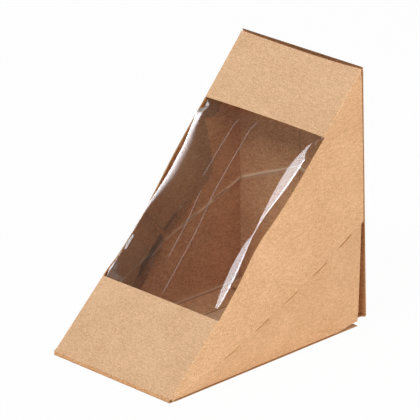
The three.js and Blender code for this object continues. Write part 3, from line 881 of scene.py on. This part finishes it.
def kraft_board(name, light, dark, roughness, spread=0.22, ridge_highlight=None):
    """Unbleached kraft board, pressed and uncoated: matt, with fibres, fine grain and clouds.

    A smaller spread makes the pattern stronger. The last argument, if given, is a paler colour laid along
    raised creases: a painted highlight on their ridges.
    """
    material, tree = new_material(name)
    where = add_node(tree, "ShaderNodeTexCoord").outputs["Object"]
    sums = []
    for scale, turn, detail, share in BOARD_PATTERN:
        lay = add_node(tree, "ShaderNodeMapping", {"Scale": scale, "Rotation": turn}, {"Vector": where})
        noise = add_node(
            tree, "ShaderNodeTexNoise", {"Scale": 1.0, "Detail": detail, "Roughness": 0.6},
            {"Vector": lay.outputs[0]})
        part = add_node(
            tree, "ShaderNodeMath", {1: share, 2: 0.0}, {0: noise.outputs[0]}, operation="MULTIPLY_ADD")
        if sums:
            tree.links.new(sums[-1], part.inputs[2])
        sums.append(part.outputs[0])
    relief, tone = sums[-2:]
    low, high = BOARD_PATTERN_MIDDLE - spread, BOARD_PATTERN_MIDDLE + spread
    share = add_node(tree, "ShaderNodeMapRange", {"From Min": low, "From Max": high}, {"Value": tone})
    colour = add_node(
        tree, "ShaderNodeMix", {6: linear(dark), 7: linear(light)}, {0: share.outputs[0]}, data_type="RGBA")
    # Paler colour where the crease beads rise: a painted highlight on their ridges.
    if ridge_highlight:
        ridge_highlight_share = add_node(tree, "ShaderNodeAttribute", attribute_name="ridge_highlight_share")
        colour = add_node(
            tree, "ShaderNodeMix", {7: linear(ridge_highlight)},
            {0: ridge_highlight_share.outputs["Fac"], 6: colour.outputs[2]}, data_type="RGBA")
    bump = add_node(tree, "ShaderNodeBump", {"Strength": 0.3, "Distance": 0.00006}, {"Height": relief})
    shader = add_node(
        tree, "ShaderNodeBsdfPrincipled", {"Roughness": roughness, "Specular IOR Level": 0.25},
        {"Base Color": colour.outputs[2], "Normal": bump.outputs[0]})
    add_node(tree, "ShaderNodeOutputMaterial", links={"Surface": shader.outputs[0]})
    return material


# Rub marks in the film: distance in from the left wall at both ends, and shares up the
# window. Real ones are under 0.1 mm wide, so these are drawn wider, and paler, to show.
RUB_MARKS = ((27.5, 27.3, 0.62, 0.95), (37.9, 36.1, 0.03, 0.97), (30.5, 30.2, 0.2, 0.55))
RUB_WIDTH = 0.25
RUB_HAZE = 0.16
FILM_HAZE = 0.004
FILM_REFLECTANCE = 0.04
# Drawing lines of the cast film, 0.7 mm apart across and 45 mm long up the slope.
FILM_STREAKS = (1400, 22, 300)


def clear_film():
    """Clear cast polypropylene: nearly unseen face on, with sharp white gloss where it bends."""
    material, tree = new_material("polypropylene_film")
    where = add_node(tree, "ShaderNodeTexCoord").outputs["Object"]
    # Turned so that Y runs up the slope: what is left of Y after the turn is distance along it.
    lay = add_node(
        tree, "ShaderNodeMapping", {"Rotation": (-SLOPE_ANGLE, 0, 0)}, {"Vector": where},
        vector_type="POINT")
    split = add_node(tree, "ShaderNodeSeparateXYZ", links={0: lay.outputs[0]})
    across, along = split.outputs["X"], split.outputs["Y"]
    window_start = slope_point(0, WINDOW_BOTTOM, 0)
    foot = window_start[1] * ALONG[0] + window_start[2] * ALONG[1]
    length = WINDOW_TOP - WINDOW_BOTTOM
    marks = None
    for low_inset, high_inset, low, high in RUB_MARKS:
        lean = (high_inset - low_inset) / (length * (high - low))
        start = HALF_WIDTH - low_inset + lean * (foot + low * length)
        offset = add_node(
            tree, "ShaderNodeMath", {1: -lean, 2: start * MM}, {0: along}, operation="MULTIPLY_ADD")
        away = add_node(tree, "ShaderNodeMath", links={0: across, 1: offset.outputs[0]}, operation="ADD")
        near = add_node(
            tree, "ShaderNodeMath", {1: 0.0, 2: RUB_WIDTH / 2 * MM}, {0: away.outputs[0]},
            operation="COMPARE")
        centre = foot + (low + high) / 2 * length
        span = add_node(
            tree, "ShaderNodeMath", {1: centre * MM, 2: (high - low) / 2 * length * MM},
            {0: along}, operation="COMPARE")
        mark = add_node(
            tree, "ShaderNodeMath", links={0: near.outputs[0], 1: span.outputs[0]}, operation="MULTIPLY")
        marks = mark if marks is None else add_node(
            tree, "ShaderNodeMath", links={0: marks.outputs[0], 1: mark.outputs[0]}, operation="MAXIMUM")
    streak_lay = add_node(tree, "ShaderNodeMapping", {"Scale": FILM_STREAKS}, {"Vector": lay.outputs[0]})
    streaks = add_node(
        tree, "ShaderNodeTexNoise", {"Scale": 1.0, "Detail": 2.0, "Roughness": 0.6},
        {"Vector": streak_lay.outputs[0]})
    bump = add_node(
        tree, "ShaderNodeBump", {"Strength": 0.2, "Distance": 0.00004}, {"Height": streaks.outputs[0]})
    facing = add_node(tree, "ShaderNodeLayerWeight", {"Blend": 0.5}, {"Normal": bump.outputs[0]})
    grazing = add_node(tree, "ShaderNodeMath", {1: 5.0}, {0: facing.outputs["Facing"]}, operation="POWER")
    fresnel = add_node(
        tree, "ShaderNodeMapRange", {"To Min": FILM_REFLECTANCE, "To Max": 1.0},
        {"Value": grazing.outputs[0]})
    clear = add_node(tree, "ShaderNodeBsdfTransparent", {"Color": linear("#fbfcfd")})
    gloss = add_node(
        tree, "ShaderNodeBsdfGlossy", {"Color": linear("#ffffff"), "Roughness": 0.05},
        {"Normal": bump.outputs[0]})
    mixed = add_node(
        tree, "ShaderNodeMixShader", links={0: fresnel.outputs[0], 1: clear.outputs[0], 2: gloss.outputs[0]})
    haze = add_node(tree, "ShaderNodeBsdfDiffuse", {"Color": linear("#eef0f2")})
    haze_share = add_node(
        tree, "ShaderNodeMapRange", {"To Min": FILM_HAZE, "To Max": RUB_HAZE}, {"Value": marks.outputs[0]})
    final = add_node(
        tree, "ShaderNodeMixShader",
        links={0: haze_share.outputs[0], 1: mixed.outputs[0], 2: haze.outputs[0]})
    add_node(tree, "ShaderNodeOutputMaterial", links={"Surface": final.outputs[0]})
    return material


# What share of the floor's light is plain white to the eye. The rest keeps the shadow.
FLOOR_WHITE = 0.97
FLOOR_HALF = 3.0


def floor_material():
    """Pale floor: the camera sees near white, and the object's shadow stays on it."""
    material, tree = new_material("pale_floor")
    path = add_node(tree, "ShaderNodeLightPath")
    through = add_node(
        tree, "ShaderNodeMath",
        links={0: path.outputs["Is Glossy Ray"], 1: path.outputs["Is Transmission Ray"]},
        operation="MAXIMUM")
    seen = add_node(
        tree, "ShaderNodeMath", links={0: path.outputs["Is Camera Ray"], 1: through.outputs[0]},
        operation="MAXIMUM")
    share = add_node(
        tree, "ShaderNodeMath", {1: FLOOR_WHITE}, {0: seen.outputs[0]}, operation="MULTIPLY")
    matt = add_node(tree, "ShaderNodeBsdfDiffuse", {"Color": linear("#f0f0f0")})
    white = add_node(tree, "ShaderNodeEmission", {"Color": linear("#ffffff"), "Strength": 1.0})
    mixed = add_node(
        tree, "ShaderNodeMixShader", links={0: share.outputs[0], 1: matt.outputs[0], 2: white.outputs[0]})
    add_node(tree, "ShaderNodeOutputMaterial", links={"Surface": mixed.outputs[0]})
    return material


def make_floor():
    half = FLOOR_HALF
    corners = [(-half, -half, 0), (half, -half, 0), (half, half, 0), (-half, half, 0)]
    mesh = bpy.data.meshes.new("floor")
    mesh.from_pydata(corners, [], [(0, 1, 2, 3)])
    mesh.materials.append(floor_material())
    floor = bpy.data.objects.new("floor", mesh)
    bpy.context.scene.collection.objects.link(floor)


def make_world(horizon, zenith):
    """A studio that is brightest round the horizon; the camera sees plain white."""
    world = bpy.data.worlds.new("studio")
    world.use_nodes = True
    tree = world.node_tree
    tree.nodes.clear()
    where = add_node(tree, "ShaderNodeTexCoord").outputs["Generated"]
    height = add_node(tree, "ShaderNodeSeparateXYZ", links={0: where})
    rise = add_node(
        tree, "ShaderNodeMapRange", {"From Min": 0.15, "From Max": 0.5, "To Min": horizon, "To Max": zenith},
        {"Value": height.outputs["Z"]}, interpolation_type="SMOOTHSTEP")
    path = add_node(tree, "ShaderNodeLightPath")
    level = add_node(
        tree, "ShaderNodeMix", {3: 1.0}, {0: path.outputs["Is Camera Ray"], 2: rise.outputs[0]},
        data_type="FLOAT")
    light = add_node(
        tree, "ShaderNodeBackground", {"Color": linear("#ffffff")}, {"Strength": level.outputs[0]})
    add_node(tree, "ShaderNodeOutputWorld", links={"Surface": light.outputs[0]})
    bpy.context.scene.world = world


def fade_to_edges(light):
    """Makes a softbox brightest in its middle, as one with its lamp far forward is."""
    light.use_nodes = True
    tree = light.node_tree
    tree.nodes.clear()
    where = add_node(tree, "ShaderNodeNewGeometry").outputs["Parametric"]
    split = add_node(tree, "ShaderNodeSeparateXYZ", links={0: where})
    shares = []
    for axis in ("X", "Y"):
        other = add_node(tree, "ShaderNodeMath", {0: 4.0}, {1: split.outputs[axis]}, operation="MULTIPLY")
        rest = add_node(tree, "ShaderNodeMath", {0: 1.0}, {1: split.outputs[axis]}, operation="SUBTRACT")
        shares.append(add_node(
            tree, "ShaderNodeMath", links={0: other.outputs[0], 1: rest.outputs[0]}, operation="MULTIPLY"))
    both = add_node(
        tree, "ShaderNodeMath", links={0: shares[0].outputs[0], 1: shares[1].outputs[0]},
        operation="MULTIPLY")
    level = add_node(tree, "ShaderNodeMath", {1: 2.0}, {0: both.outputs[0]}, operation="POWER")
    glow = add_node(tree, "ShaderNodeEmission", links={"Strength": level.outputs[0]})
    add_node(tree, "ShaderNodeOutputLight", links={"Surface": glow.outputs[0]})


def make_softbox(name, azimuth, elevation, distance, size, radiance, tint, soft=False):
    """A softbox aimed at the pack, placed by degrees from the front to the right and up, and metres."""
    light = bpy.data.lights.new(name, "AREA")
    if soft:
        fade_to_edges(light)
    light.shape = "RECTANGLE"
    light.size, light.size_y = size
    light.energy = radiance * size[0] * size[1] * math.pi
    light.color = linear(tint)[:3]
    turn, rise = math.radians(azimuth), math.radians(elevation)
    aim = Vector((0, 0, HEIGHT / 2 * MM))
    away = Vector((math.sin(turn) * math.cos(rise), -math.cos(turn) * math.cos(rise), math.sin(rise)))
    box = bpy.data.objects.new(name, light)
    box.location = aim + away * distance
    box.rotation_euler = away.to_track_quat("Z", "Y").to_euler()
    bpy.context.scene.collection.objects.link(box)


# The photograph's view: long lens, a little above the pack and 45 degrees to its right. The
# view's middle lies this far right of and above the pack's, in metres.
VIEW_AZIMUTH = 45.0
VIEW_ELEVATION = 21.8
VIEW_DISTANCE = 1.666
VIEW_LENS = 326.0
AIM_RIGHT = 0.0011
AIM_UP = 0.0007


def make_camera():
    azimuth = math.radians(VIEW_AZIMUTH)
    elevation = math.radians(VIEW_ELEVATION)
    level = math.cos(elevation)
    back = Vector((math.sin(azimuth) * level, -math.cos(azimuth) * level, math.sin(elevation)))
    right = Vector((math.cos(azimuth), math.sin(azimuth), 0))
    up = back.cross(right)
    aim = Vector((0, 0, HEIGHT / 2 * MM)) + right * AIM_RIGHT + up * AIM_UP
    camera = bpy.data.cameras.new("camera")
    camera.lens = VIEW_LENS
    camera.sensor_width = 36.0
    camera.clip_start = 0.05
    holder = bpy.data.objects.new("camera", camera)
    holder.location = aim + back * VIEW_DISTANCE
    holder.rotation_euler = (-back).to_track_quat("-Z", "Y").to_euler()
    bpy.context.scene.collection.objects.link(holder)
    bpy.context.scene.camera = holder


# Outer side: smooth pressed kraft, warm and matt, with fibres that can just be seen.
outside = kraft_board("kraft_board_outside", "#f0c69b", "#cb9b70", 0.75)
# Inner side: rougher and more speckled, and paler along raised creases, a painted highlight on their ridges.
inside = kraft_board("kraft_board_inside", "#f0ba87", "#bd824f", 0.85, spread=0.19, ridge_highlight="#f2d2ac")
# Die-cut edge: the sheet's bare core, a little duller than both sides.
cut_edge = kraft_board("kraft_board_cut_edge", "#c99c6c", "#b48858", 0.9)
# Painted shade: kraft darkened for the shade the folds lie in, a thin dark line at ridge and base.
fold_painted_shade = kraft_board("kraft_board_fold_painted_shade", "#8e5c34", "#774b29", 0.8)
film = clear_film()

carton = make_carton([outside, inside, cut_edge, fold_painted_shade])
base = make_base([outside, inside, cut_edge, fold_painted_shade])
lid = make_lid([outside, inside, cut_edge, fold_painted_shade])
window = make_film([film])
fibres = make_cut_fibres(cut_edge)

for piece, body, slot in (
    (carton, "carton", "kraft_board"), (base, "carton", "kraft_board"),
    (lid, "lid", "kraft_board"), (window, "carton", "clear_film"), (fibres, "carton", "kraft_board"),
):
    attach(piece, body)
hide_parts("carton")
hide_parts("carton")
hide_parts("carton")
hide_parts("back_lid")
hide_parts("window_film")

make_floor()
make_world(0.85, 0.12)
make_softbox("front_softbox", 3, 54, 1.0, (0.72, 0.4), 6.4, "#f3f8ff")
make_softbox("rim_strip", 28, 52, 1.0, (0.06, 0.4), 12.0, "#f3f8ff")
make_softbox("right_softbox", 98, 8, 1.4, (1.0, 0.8), 4.1, "#fff1e0")
make_softbox("left_softbox", -90, 6, 1.2, (1.0, 1.07), 8.0, "#f3f8ff", soft=True)
make_camera()
bpy.context.scene.view_settings.view_transform = "Standard"
